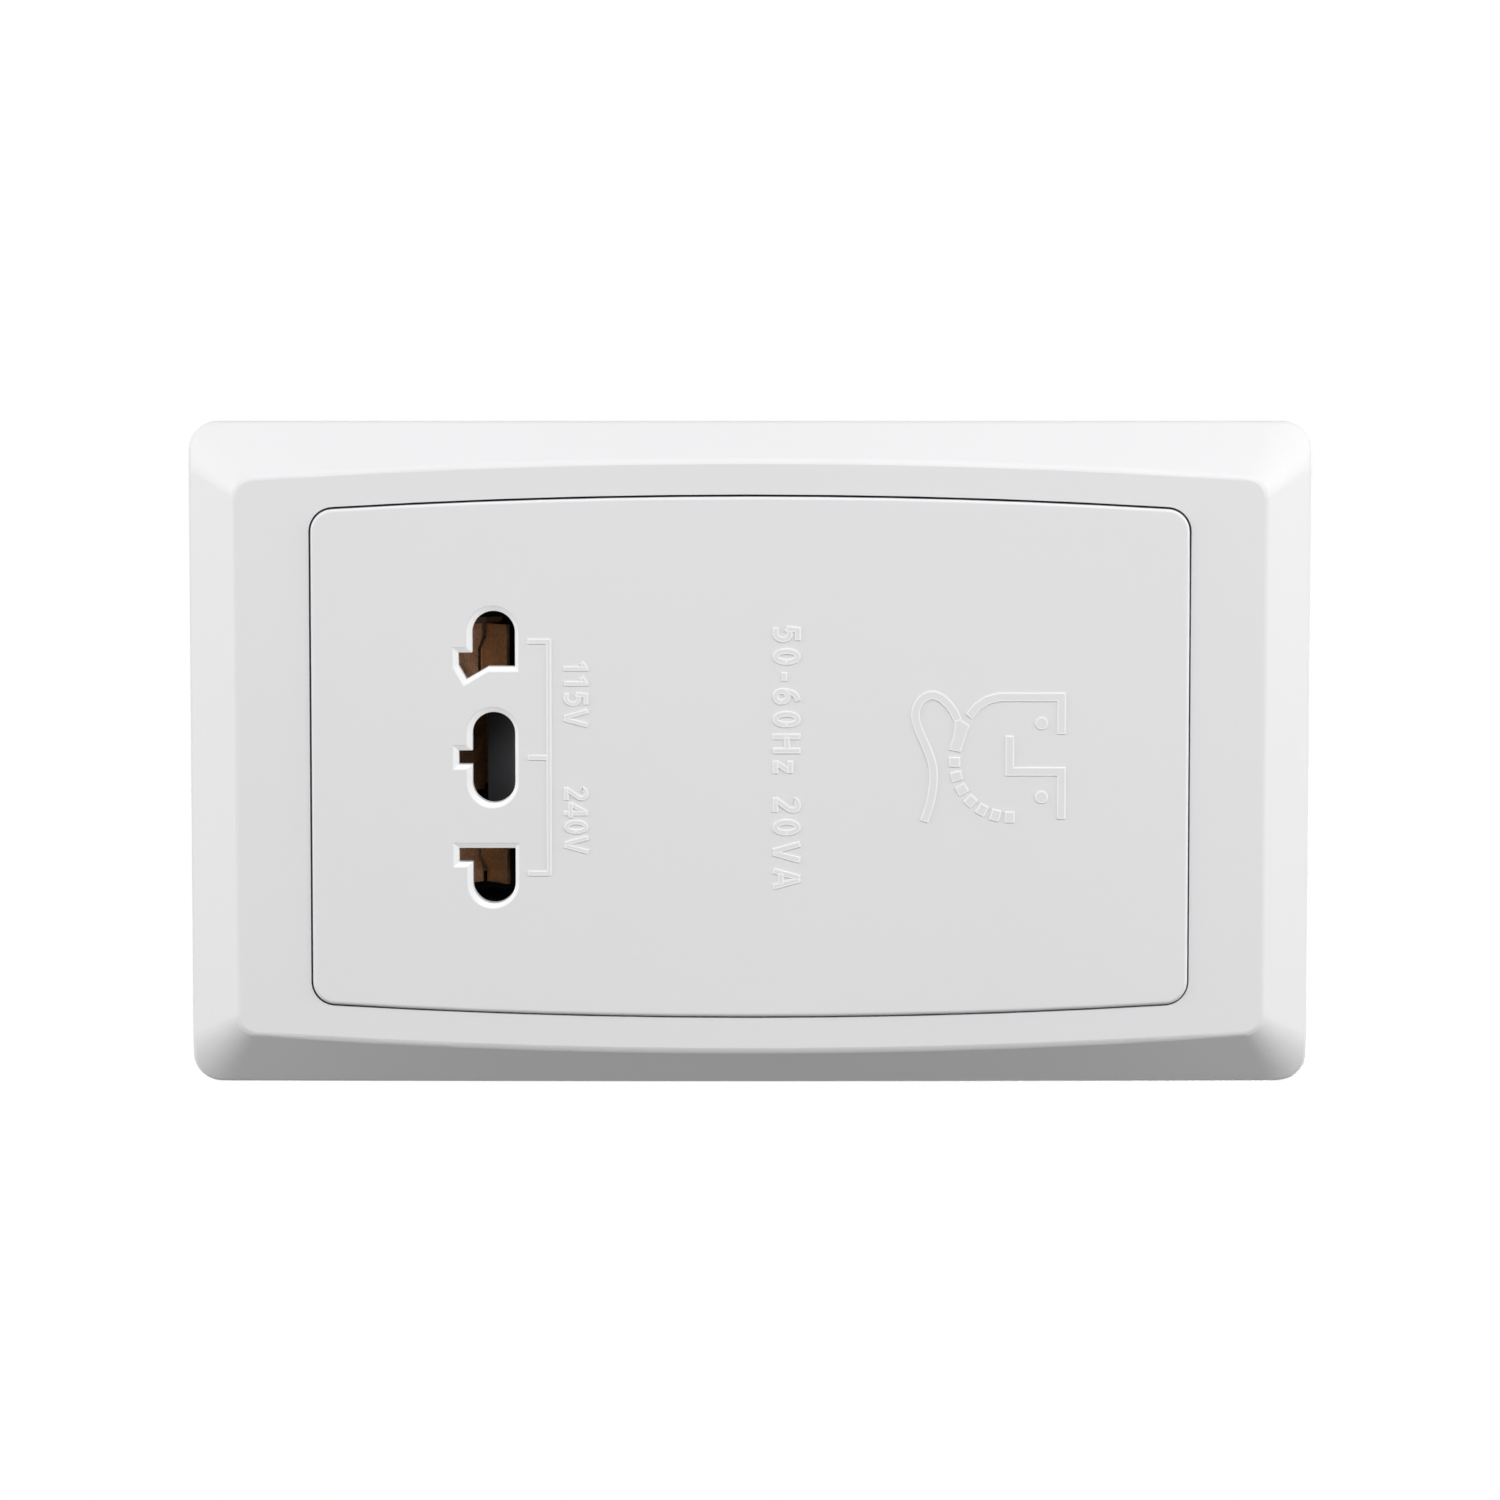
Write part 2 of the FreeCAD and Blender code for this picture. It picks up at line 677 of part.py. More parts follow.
# Contact carrier
def make_contact_carrier():
    chambers_block = box(-carrier_half_width, carrier_half_width, panel_back_y, carrier_back_y,
                         carrier_bottom, carrier_top)
    channel = box(-channel_half_width, channel_half_width, panel_back_y, channel_back_y, carrier_top, channel_top)
    cradle_x = switch_half_length + cradle_fit + cradle_wall
    cradle_floor = box(-cradle_x, cradle_x, groove_back_y, channel_back_y, switch_bottom, switch_top)
    cradles = [box(min(side * cradle_x, side * (cradle_x - cradle_wall)),
                   max(side * cradle_x, side * (cradle_x - cradle_wall)),
                   groove_back_y, channel_back_y + cradle_height, switch_bottom, switch_top) for side in (-1, 1)]
    ears = box(-carrier_ear_x, carrier_ear_x, carrier_ear_y - carrier_ear_thickness, carrier_ear_y,
               pin_line - carrier_ear_height / 2, pin_line + carrier_ear_height / 2)
    stakes = [rod_y(side * stake_x(), clip_line, carrier_back_y, cover_back_y + stake_height, stake_radius)
              for side in (-1, 1)]
    body = fuse_all([chambers_block, channel, cradle_floor, ears] + cradles + stakes)
    front = panel_back_y + carrier_front_wall
    chambers = [box(-chamber_outer_x, -chamber_inner_x, front, carrier_back_y, chamber_bottom, chamber_top),
                box(-chamber_common_x, chamber_common_x, front, carrier_back_y, chamber_bottom, chamber_top),
                box(chamber_inner_x, chamber_outer_x, front, carrier_back_y, chamber_bottom, chamber_top)]
    groove = box(-groove_half_width, groove_half_width, panel_back_y, groove_back_y,
                 pin_line - pin_radius - carrier_hole_fit, groove_top)
    plunger_hole = rod_y(0, plunger_z, groove_back_y, channel_back_y, plunger_radius + slide_fit)
    screw_holes = [rod_y(side * carrier_screw_x, pin_line, carrier_ear_y - carrier_ear_thickness, carrier_ear_y,
                         screw_radius + 2 * screw_fit) for side in (-1, 1)]
    holes = aperture_cutters(carrier_hole_fit, panel_back_y, front)
    body = body.cut(chambers + [groove, plunger_hole] + screw_holes + holes)
    peg = rod_z(0, spring_y, groove_top - spring_peg_length, groove_top, spring_peg_radius)
    return fuse_all([body, peg])


def stake_x():
    return (chamber_common_x + chamber_inner_x) / 2


def make_carrier_screws():
    length = carrier_ear_y - panel_back_y - boss_floor - screw_fit
    return Part.Compound([slotted_screw(side * carrier_screw_x, pin_line, carrier_ear_y, -length)
                          for side in (-1, 1)])


def tail_x(side):
    return side * (chamber_inner_x + chamber_outer_x) / 2


def make_contact_cover():
    sheet = box(-carrier_half_width, carrier_half_width, carrier_back_y, cover_back_y, carrier_bottom, carrier_top)
    slots = [box(tail_x(side) - tail_width / 2 - leg_fit, tail_x(side) + tail_width / 2 + leg_fit,
                 carrier_back_y, cover_back_y,
                 clip_line - clip_strip / 2 - leg_fit, clip_line + clip_strip / 2 + leg_fit)
             for side in (-1, 0, 1)]
    stakes = [rod_y(side * stake_x(), clip_line, carrier_back_y, cover_back_y, stake_radius + screw_fit)
              for side in (-1, 1)]
    return sheet.cut(slots + stakes)


# Spring contacts, bent from strip
def strip_outline(path, thickness):
    """Both faces of a bent strip whose middle line runs through the (y, z) points of path."""
    half = thickness / 2
    normals = []
    for (y0, z0), (y1, z1) in zip(path, path[1:]):
        length = math.hypot(y1 - y0, z1 - z0)
        normals.append((-(z1 - z0) / length, (y1 - y0) / length))
    faces = ([], [])
    for i, (y, z) in enumerate(path):
        before = normals[max(i - 1, 0)]
        after = normals[min(i, len(normals) - 1)]
        share = 1 + before[0] * after[0] + before[1] * after[1]
        mitre = ((before[0] + after[0]) / share, (before[1] + after[1]) / share)
        for face, way in zip(faces, (1, -1)):
            face.append((y + way * half * mitre[0], z + way * half * mitre[1]))
    return faces[0] + faces[1][::-1]


def clip_path(mouth_y, drop):
    """Middle line of a clip, from the upper lip round the back to the lower lip, pinched a drop below its line."""
    pinch_y = mouth_y + flare_depth
    belly_y = pinch_y + clip_belly_depth
    back_y = carrier_back_y - clip_seat
    lip_high = clip_line + flare_high
    lip_low = clip_line - flare_low
    pinch = (clip_gap + clip_strip) / 2
    return [
        (mouth_y, lip_high), (pinch_y, clip_line + pinch - drop), (belly_y, clip_line + clip_belly_high),
        (back_y, clip_line + clip_belly_high), (back_y, clip_line - clip_belly_low),
        (belly_y, clip_line - clip_belly_low), (pinch_y, clip_line - pinch - drop), (mouth_y, lip_low),
    ]


def make_clip(mouth_y, stations, tail_at):
    """Clip drawn through (x, drop) stations, so that its pinch line can wave along X."""
    sections = []
    for x, drop in stations:
        corners = [Vector(x, y, z) for y, z in strip_outline(clip_path(mouth_y, drop), clip_strip)]
        sections.append(Part.makePolygon(corners + corners[:1]))
    clip = Part.makeLoft(sections, True, True)
    tail_y = carrier_back_y - clip_seat
    tail = box(tail_at - tail_width / 2, tail_at + tail_width / 2, tail_y, step_floor_y - tail_floor_gap,
               clip_line - clip_strip / 2, clip_line + clip_strip / 2)
    return fuse_all([clip, tail])


def make_outer_clip(side):
    mouth_y = panel_back_y + carrier_front_wall + clip_setback
    far = outer_pin_x + pin_radius / 4
    bend_far = blade_pitch + blade_slot + pin_radius / 4
    bend_near = blade_pitch + blade_slot / 2
    stations = [(clip_inner_side, clip_wave), (bend_near, clip_wave), (bend_far, 0), (far, 0)]
    return make_clip(mouth_y, [(side * x, drop) for x, drop in stations], tail_x(side))


def make_common_clip():
    mouth_y = slide_back_y + clip_setback
    return make_clip(mouth_y, [(-common_clip_half, 0), (common_clip_half, 0)], 0)


# Start slide, spring and switch
def make_start_slide():
    nose_y = slide_front_y + ramp_depth
    profile = [
        (slide_back_y, slide_bottom), (nose_y, slide_bottom), (slide_front_y, slide_bottom + ramp_length),
        (slide_front_y, slide_top), (cam_y(slide_top), slide_top), (slide_back_y, cam_start()),
    ]
    corners = [Vector(-slide_half_width, y, z) for y, z in profile]
    body = Part.Face(Part.makePolygon(corners + corners[:1])).extrude(Vector(2 * slide_half_width, 0, 0))
    peg = rod_z(0, spring_y, slide_top, slide_top + spring_peg_length, spring_peg_radius)
    return fuse_all([body, peg])


def cam_y(z):
    """Face of the cam on the slide's back, at rest: it falls away from the plunger towards the top."""
    return cam_foot_y - cam_slope * (z - plunger_z)


def cam_start():
    return plunger_z - (slide_back_y - cam_foot_y) / cam_slope


def make_slide_spring():
    pitch = (spring_length - spring_wire) / spring_turns
    helix = Part.makeHelix(pitch, spring_length - spring_wire, spring_radius)
    start = Vector(spring_radius, 0, 0)
    section = Part.Wire(Part.makeCircle(spring_wire / 2, start, Vector(0, 1, 0)))
    coil = Part.Wire(helix).makePipeShell([section], True, True)
    coil.translate(Vector(0, spring_y, slide_top + spring_wire / 2))
    return coil


def make_switch_plunger():
    bevel = plunger_radius * cam_slope
    body = rod_y(0, plunger_z, plunger_tip_y + bevel, channel_back_y, plunger_radius)
    tip = Part.makeCone(plunger_tip_radius, plunger_radius, bevel, Vector(0, plunger_tip_y, plunger_z),
                        Vector(0, 1, 0))
    return fuse_all([tip, body])


def make_switch_body():
    body = box(-switch_half_length, switch_half_length, channel_back_y, switch_back_y, switch_bottom, switch_top)
    well = rod_y(0, plunger_z, channel_back_y, channel_back_y + plunger_travel + slide_front_gap,
                 plunger_radius + slide_fit)
    pins = [rod_z(side * switch_half_length / 2, switch_back_y - switch_pin_inset, switch_bottom, switch_top,
                  switch_pin_radius)
            for side in (-1, 1)]
    return body.cut([well] + pins)


def make_switch_tags():
    tags = []
    for side in (-1, 1):
        x = side * tag_spacing / 2
        tag = box(x - tag_width / 2, x + tag_width / 2, switch_back_y, switch_back_y + tag_length,
                  plunger_z - tag_thickness / 2, plunger_z + tag_thickness / 2)
        eye = rod_z(x, switch_back_y + tag_length - tag_eye_inset, plunger_z - tag_thickness,
                    plunger_z + tag_thickness, tag_eye_radius)
        tags.append(tag.cut(eye))
    return Part.Compound(tags)


# Transformer
def make_transformer_core():
    half_width, half_height = core_width / 2, core_height / 2
    stack = box(-half_width, half_width, core_front_y, core_back_y,
                core_middle - half_height, core_middle + half_height)
    windows = []
    for side in (-1, 1):
        near, far = sorted((side * core_leg / 2, side * (core_leg / 2 + core_window)))
        windows.append(box(near, far, core_front_y, core_back_y,
                           core_middle - half_height + core_yoke, core_middle + half_height - core_yoke))
    holes = [rod_y(x, z, core_front_y, core_back_y, screw_radius + core_hole_fit) for x, z in bolt_spots()]
    return stack.cut(windows + holes)


def coil_ring(outer_x, outer_y, corner, inner_x, inner_y, z0, z1):
    block = box(-outer_x, outer_x, core_mid_y - outer_y, core_mid_y + outer_y, z0, z1)
    if corner:
        block = block.makeFillet(corner, [e for e in block.Edges if e.BoundBox.ZLength > (z1 - z0) * 0.9])
    return block.cut(box(-inner_x, inner_x, core_mid_y - inner_y, core_mid_y + inner_y, z0, z1))


def flange_starts():
    low = core_middle - bobbin_half_height
    high = core_middle + bobbin_half_height - bobbin_flange
    return [low, (low + high) / 2, high]


def make_coil_bobbin():
    low = core_middle - bobbin_half_height
    high = core_middle + bobbin_half_height
    tube = coil_ring(winding_inner_x, winding_inner_y, 0, bobbin_inner_x, bobbin_inner_y, low, high)
    flanges = [coil_ring(winding_outer_x + flange_rim, winding_outer_y + flange_rim, flange_corner,
                         bobbin_inner_x, bobbin_inner_y, z, z + bobbin_flange) for z in flange_starts()]
    return fuse_all([tube] + flanges)


def make_winding(section):
    starts = flange_starts()
    return coil_ring(winding_outer_x, winding_outer_y, winding_corner, winding_inner_x, winding_inner_y,
                     starts[section] + bobbin_flange, starts[section + 1])


def make_bobbin_pins():
    low = core_middle - bobbin_half_height
    high = core_middle + bobbin_half_height
    pins = [rod_z(side * secondary_pin_x, bobbin_pin_y, low - bobbin_pin_length, low, bobbin_pin_radius)
            for side in (-1, 0, 1)]
    pins += [rod_z(side * primary_pin_x, bobbin_pin_y, high, high + bobbin_pin_length, bobbin_pin_radius)
             for side in (-1, 1)]
    return Part.Compound(pins)


def make_core_bolts():
    length = core_stack + core_seat - boss_floor - screw_fit
    return Part.Compound([slotted_screw(x, z, core_front_y, length) for x, z in bolt_spots()])


def make_thermal_cutout():
    can = box(-cutout_width / 2, cutout_width / 2, winding_front_y - cutout_thickness, winding_front_y,
              cutout_z - cutout_height / 2, cutout_z + cutout_height / 2)
    return can.makeFillet(cutout_round, edges_at(can, winding_front_y - cutout_thickness))


# Mains terminals
def make_terminal_block():
    base = box(-block_half_width, block_half_width, step_depth, terminal_floor_y,
               terminal_bottom, terminal_top + block_fit + block_wall)
    back = box(-block_half_width, block_half_width, terminal_floor_y, step_depth + block_height,
               terminal_top + block_fit, terminal_top + block_fit + block_wall)
    spans = []
    reach = terminal_width / 2 + block_fit
    edges = [-block_half_width]
    for x in terminal_x:
        edges += [x - reach, x + reach]
    edges.append(block_half_width)
    for low, high in zip(edges[::2], edges[1::2]):
        spans.append(box(low, high, terminal_floor_y, step_depth + block_height, terminal_bottom, terminal_top + block_fit))
    block = fuse_all([base, back] + spans)
    slots = [box(x - leg_width / 2 - leg_fit, x + leg_width / 2 + leg_fit, step_depth, terminal_floor_y,
                 leg_z - leg_thickness / 2 - leg_fit, leg_z + leg_thickness / 2 + leg_fit) for x in terminal_x]
    return block.cut(slots)


def make_terminal(x):
    pillar = box(x - terminal_width / 2, x + terminal_width / 2, terminal_floor_y, terminal_back_y,
                 terminal_bottom, terminal_top)
    leg = box(x - leg_width / 2, x + leg_width / 2, step_floor_y - leg_reach, terminal_floor_y,
              leg_z - leg_thickness / 2, leg_z + leg_thickness / 2)
    bore = rod_z(x, terminal_bore_y, terminal_bottom, terminal_top, terminal_bore / 2)
    tapping = rod_y(x, (terminal_bottom + terminal_top) / 2, terminal_bore_y, terminal_back_y,
                    screw_radius + screw_fit)
    return fuse_all([pillar, leg]).cut([bore, tapping])


def make_terminal_screws():
    head_y = terminal_back_y + terminal_screw_head / 2
    length = head_y - terminal_bore_y - terminal_bore / 2 - terminal_screw_gap
    middle = (terminal_bottom + terminal_top) / 2
    return Part.Compound([slotted_screw(x, middle, head_y, -length) for x in terminal_x])


# Leads
def make_lead(stops):
    """Round lead through the stops, bent to one radius at each inner stop."""
    spots = [Vector(*stop) for stop in stops]
    edges = []
    start = spots[0]
    for before, corner, after in zip(spots, spots[1:], spots[2:]):
        come = (corner - before).normalize()
        leave = (after - corner).normalize()
        half_turn = come.getAngle(leave) / 2
        bend_start = corner - come * lead_bend * math.tan(half_turn)
        bend_end = corner + leave * lead_bend * math.tan(half_turn)
        inward = (leave - come).normalize()
        bend_middle = corner + inward * lead_bend * (1 / math.cos(half_turn) - 1)
        edges += [line(start, bend_start), arc(bend_start, bend_middle, bend_end)]
        start = bend_end
    edges.append(line(start, spots[-1]))
    section = Part.Wire(Part.makeCircle(lead_radius, spots[0], spots[1] - spots[0]))
    return Part.Wire(edges).makePipeShell([section], True, False)


def make_live_lead():
    return make_lead([
        (-terminal_pitch + leg_width / 2, lead_y, lead_leg_z), (-lead_side_x, lead_y, lead_leg_z),
        (-lead_side_x, lead_y, plunger_z), (-tag_side_x, lead_y, plunger_z),
    ])


def make_switched_lead():
    return make_lead([
        (tag_side_x, lead_y, plunger_z), (lead_front_x, lead_y, plunger_z),
        (lead_front_x, lead_front_y, plunger_z), (lead_front_x, lead_front_y, cutout_z),
        (cutout_width / 2, lead_front_y, cutout_z),
    ])


def make_cutout_lead():
    return make_lead([
        (-cutout_width / 2, lead_front_y, cutout_z), (-lead_front_x, lead_front_y, cutout_z),
        (-lead_front_x, lead_front_y, lead_top_z), (-lead_front_x, bobbin_pin_y, lead_top_z),
        (-primary_pin_x, bobbin_pin_y, lead_top_z), (-primary_pin_x, bobbin_pin_y, primary_pin_end),
    ])


def make_neutral_lead():
    return make_lead([
        (terminal_pitch - leg_width / 2, lead_y, lead_leg_z), (lead_side_x, lead_y, lead_leg_z),
        (lead_side_x, lead_y, lead_top_z), (lead_side_x, bobbin_pin_y, lead_top_z),
        (primary_pin_x, bobbin_pin_y, lead_top_z), (primary_pin_x, bobbin_pin_y, primary_pin_end),
    ])


def make_secondary_lead(side):
    start_x = side * secondary_pin_x
    end_x = tail_x(side)
    return make_lead([
        (start_x, bobbin_pin_y, secondary_pin_end), (start_x, bobbin_pin_y, lead_low_z),
        (end_x, lead_y, lead_low_z), (end_x, lead_y, clip_line + clip_strip / 2),
    ])


parts = {
    "surround_frame": make_surround_frame(),
    "front_panel": make_front_panel(),
    "mounting_plate": make_mounting_plate(),
    "rear_housing": make_rear_housing(),
    "housing_screws": make_housing_screws(),
    "contact_carrier": make_contact_carrier(),
    "carrier_screws": make_carrier_screws(),
    "contact_cover": make_contact_cover(),
    "contact_115": make_outer_clip(-1),
    "contact_common": make_common_clip(),
    "contact_240": make_outer_clip(1),
    "start_slide": make_start_slide(),
    "slide_spring": make_slide_spring(),
    "switch_body": make_switch_body(),
    "switch_plunger": make_switch_plunger(),
    "switch_tags": make_switch_tags(),
    "transformer_core": make_transformer_core(),
    "coil_bobbin": make_coil_bobbin(),
    "primary_winding": make_winding(1),
    "secondary_winding": make_winding(0),
    "bobbin_pins": make_bobbin_pins(),
    "core_bolts": make_core_bolts(),
    "thermal_cutout": make_thermal_cutout(),
    "lead_live": make_live_lead(),
    "lead_switched": make_switched_lead(),
    "lead_cutout": make_cutout_lead(),
    "lead_neutral": make_neutral_lead(),
    "lead_115": make_secondary_lead(-1),
    "lead_common": make_secondary_lead(0),
    "lead_240": make_secondary_lead(1),
    "terminal_block": make_terminal_block(),
    "terminal_live": make_terminal(terminal_x[0]),
    "terminal_neutral": make_terminal(terminal_x[2]),
    "terminal_earth": make_terminal(terminal_x[1]),
    "terminal_screws": make_terminal_screws(),
}

os.makedirs("parts", exist_ok=True)
for name, shape in parts.items():
    shape.exportStep(f"parts/{name}.step")
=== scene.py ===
import json
import math

import bmesh
import bpy
from mathutils import Matrix, Vector


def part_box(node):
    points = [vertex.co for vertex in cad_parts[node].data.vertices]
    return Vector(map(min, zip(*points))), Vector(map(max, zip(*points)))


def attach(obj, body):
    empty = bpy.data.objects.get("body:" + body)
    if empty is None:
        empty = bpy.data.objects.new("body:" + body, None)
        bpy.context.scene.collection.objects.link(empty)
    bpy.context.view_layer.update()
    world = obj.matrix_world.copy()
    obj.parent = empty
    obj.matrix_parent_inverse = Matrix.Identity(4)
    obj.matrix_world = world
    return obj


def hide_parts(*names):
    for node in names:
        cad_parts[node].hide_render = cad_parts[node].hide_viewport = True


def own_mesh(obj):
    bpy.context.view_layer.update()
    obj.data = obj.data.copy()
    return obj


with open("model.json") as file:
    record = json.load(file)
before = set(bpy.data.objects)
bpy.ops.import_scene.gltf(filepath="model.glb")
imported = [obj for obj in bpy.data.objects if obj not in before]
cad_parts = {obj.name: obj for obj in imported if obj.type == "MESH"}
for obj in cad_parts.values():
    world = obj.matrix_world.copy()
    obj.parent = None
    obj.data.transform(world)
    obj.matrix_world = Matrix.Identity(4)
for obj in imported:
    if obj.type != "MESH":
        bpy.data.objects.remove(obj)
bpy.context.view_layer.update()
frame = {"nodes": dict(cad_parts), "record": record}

MM = 0.001

# Planes and outlines of the mouldings
PANEL_FRONT = -9.4 * MM
HOUSING_BACK = 37.0 * MM
OPENING_SIDE = 34.04 * MM
OPENING_END = 57.0 * MM
OPENING_CORNER = 3.2 * MM
SIDE_BOW = 900.0 * MM

# Where the rims of the pin apertures lie on the panel
RIMS_SIDE = 20.6 * MM
RIMS_LOW = -40.5 * MM
RIMS_HIGH = -28.6 * MM

# Painted shade in the joint round the panel
JOINT_FRONT = -9.24 * MM
JOINT_SHADE = (0.012, 0.012, 0.012, 1)

# Raised marks
MARK_RISE = 0.12 * MM
MARK_SINK = 0.05 * MM
MARK_EDGE = 0.03 * MM
MARK_BAND = 0.16 * MM
STROKE_STEP = 0.004 * MM
WIRE_SIGN_UP = -23.5 * MM
WIRE_SIGN_RISE = 0.4 * MM

# Drawing of the marks, in millimetres
FIGURE_HEIGHT = 3.15
FIGURE_STROKE = 0.6
FIGURES_UP = -22.52
SIGN_STROKE = 1.1
WIRE_SIGN_HEIGHT = 5.0

# The least cosine that a stroke's corner is mitred by
SHARPEST_MITRE = 0.3

# Studio
AMBIENT = 0.18
FLOOR_DROP = -1.3
FLOOR_RADIUS = 7.0
CAMERA_DISTANCE = 0.752
CAMERA_PITCH = math.radians(5.0)
CAMERA_AIM = Vector((-0.163 * MM, 0, 0))

STAND_UP = Matrix.Rotation(math.radians(90), 4, "X")
TURN_ROUND = Matrix.Rotation(math.radians(180), 4, "Z")
ON_PANEL = Matrix.Translation((0, PANEL_FRONT, 0))


# Finishes

class Value:
    """A shader socket that takes part in plain arithmetic."""

    def __init__(self, finish, socket):
        self.finish = finish
        self.socket = socket

    def math(self, operation, first, second=0.0):
        return self.finish.node("ShaderNodeMath", {"operation": operation}, {0: first, 1: second})

    def __add__(self, other):
        return self.math("ADD", self, other)

    def __radd__(self, other):
        return self.math("ADD", other, self)

    def __sub__(self, other):
        return self.math("SUBTRACT", self, other)

    def __rsub__(self, other):
        return self.math("SUBTRACT", other, self)

    def __mul__(self, other):
        return self.math("MULTIPLY", self, other)

    def __rmul__(self, other):
        return self.math("MULTIPLY", other, self)

    def __abs__(self):
        return self.math("ABSOLUTE", self)

    def root(self):
        return self.math("SQRT", self)

    def at_least(self, other):
        return self.math("MAXIMUM", self, other)


class Finish:
    """The shader of one material, or of the studio, in the making."""

    def __init__(self, owner):
        self.owner = owner
        owner.use_nodes = True
        self.tree = owner.node_tree
        self.tree.nodes.clear()

    def node(self, kind, settings, sockets, output=0):
        made = self.tree.nodes.new(kind)
        for name, value in settings.items():
            setattr(made, name, value)
        for key, value in sockets.items():
            if isinstance(value, Value):
                self.tree.links.new(value.socket, made.inputs[key])
            else:
                made.inputs[key].default_value = value
        return Value(self, made.outputs[output]) if made.outputs else None

    def place(self, scale=(1, 1, 1)):
        """Object coordinates, stretched along each axis by scale."""
        at = self.node("ShaderNodeTexCoord", {}, {}, "Object")
        return self.node("ShaderNodeMapping", {}, {"Vector": at, "Scale": scale})

    def axis(self, at, name):
        return self.node("ShaderNodeSeparateXYZ", {}, {0: at}, name)

    def noise(self, at, scale, detail=2.0):
        return self.node("ShaderNodeTexNoise", {}, {"Vector": at, "Scale": scale, "Detail": detail}, "Fac")

    def bands(self, at, axis, pitch, distortion):
        """Even bands across an axis, one to every pitch."""
        return self.node("ShaderNodeTexWave", {"bands_direction": axis},
                         {"Vector": at, "Scale": math.pi / 10 / pitch, "Distortion": distortion}, "Fac")

    def blend(self, share, first, second):
        return self.node("ShaderNodeMix", {"data_type": "RGBA"}, {0: share, 6: first, 7: second}, 2)

    def rise(self, value, start, end):
        """Zero at start and one at end, held beyond both."""
        return self.node("ShaderNodeMapRange", {}, {"Value": value, "From Min": start, "From Max": end})

    def bump(self, height, depth):
        return self.node("ShaderNodeBump", {}, {"Height": height, "Distance": depth, "Strength": 1.0})

    def close(self, sockets):
        shader = self.node("ShaderNodeBsdfPrincipled", {}, sockets)
        self.node("ShaderNodeOutputMaterial", {}, {"Surface": shader})
        return self.owner

    def seen(self):
        """One where the camera, a reflection or a look through glass meets the surface, else zero."""
        camera, glossy, through = (self.node("ShaderNodeLightPath", {}, {}, kind)
                                   for kind in ("Is Camera Ray", "Is Glossy Ray", "Is Transmission Ray"))
        return camera.at_least(glossy.at_least(through))


def shade(colour, factor):
    return tuple(channel * factor for channel in colour[:3]) + (1.0,)


def moulding(name, colour, roughness, grain=0.35 * MM, grain_depth=0.004 * MM, clouding=0.03):
    """Injection moulding: faint flow clouds in colour and gloss over a fine eroded grain."""
    finish = Finish(bpy.data.materials.new(name))
    at = finish.place()
    cloud = finish.noise(at, 42.0, 3.0)
    fine = finish.noise(at, 1 / grain)
    return finish.close({
        "Base Color": finish.blend(cloud, shade(colour, 1 - clouding), shade(colour, 1 + clouding / 2)),
        "Roughness": roughness + (cloud - 0.5) * 0.12 + (fine - 0.5) * 0.08,
        "IOR": 1.49,
        "Normal": finish.bump(fine, grain_depth),
    })


def rims_of_apertures(finish, across, depth, up):
    """One on the sloping rims of the pin apertures, where a painted highlight goes."""
    on_slope = (finish.rise(depth, PANEL_FRONT + 0.03 * MM, PANEL_FRONT + 0.06 * MM)
                * finish.rise(depth, PANEL_FRONT + 0.30 * MM, PANEL_FRONT + 0.26 * MM))
    by_apertures = (finish.rise(abs(across), RIMS_SIDE, RIMS_SIDE - 0.4 * MM)
                    * finish.rise(up, RIMS_LOW, RIMS_LOW + 0.5 * MM)
                    * finish.rise(up, RIMS_HIGH, RIMS_HIGH - 0.4 * MM))
    return on_slope * by_apertures


def joint_shade_mask(finish, across, depth, up):
    """One down the panel's edge in the joint with the surround, where shade is painted, at the left side and
    less so at the foot.
    """
    side = abs(across) + up * up * (0.5 / SIDE_BOW) - (OPENING_SIDE - OPENING_CORNER)
    end = abs(up) - (OPENING_END - OPENING_CORNER)
    side, end = side.at_least(0.0), end.at_least(0.0)
    off_joint = (side * side + end * end).root() - OPENING_CORNER
    at_edge = (finish.rise(off_joint, -0.5 * MM, -0.42 * MM)
               * finish.rise(off_joint, -0.05 * MM, -0.15 * MM)
               * finish.rise(depth, JOINT_FRONT, JOINT_FRONT + 0.12 * MM))
    left_side = finish.rise(across, -20.0 * MM, -33.0 * MM)
    foot = finish.rise(up, -40.0 * MM, -56.0 * MM) * 0.8
    return at_edge * foot.at_least(left_side)


def front_moulding(name, colour, highlight_colour, roughness):
    """Satin white face moulding, with a painted highlight on the aperture rims and the edges of raised marks,
    and painted shade in the joint round the panel.
    """
    finish = Finish(bpy.data.materials.new(name))
    at = finish.place()
    cloud = finish.noise(at, 42.0, 3.0)
    fine = finish.noise(at, 2900.0)
    spot = [finish.axis(at, letter) for letter in "XYZ"]
    on_mark = finish.node("ShaderNodeAttribute", {"attribute_name": "painted_highlight"}, {}, "Fac")
    # Painted highlight: the rims and the marks' edge bands take a paler colour and a little less roughness
    painted_highlight = rims_of_apertures(finish, *spot).at_least(on_mark)
    clean = finish.blend(cloud, shade(colour, 0.988), shade(colour, 1.006))
    # Painted shade: the panel's edge in its joint with the surround is coloured near black
    joint_shaded = finish.blend(joint_shade_mask(finish, *spot), clean, JOINT_SHADE)
    return finish.close({
        "Base Color": finish.blend(painted_highlight, joint_shaded, highlight_colour),
        "Roughness": roughness + (cloud - 0.5) * 0.12 + (fine - 0.5) * 0.08 - painted_highlight * 0.1,
        "IOR": 1.49,
        "Normal": finish.bump(fine, 0.004 * MM),
    })


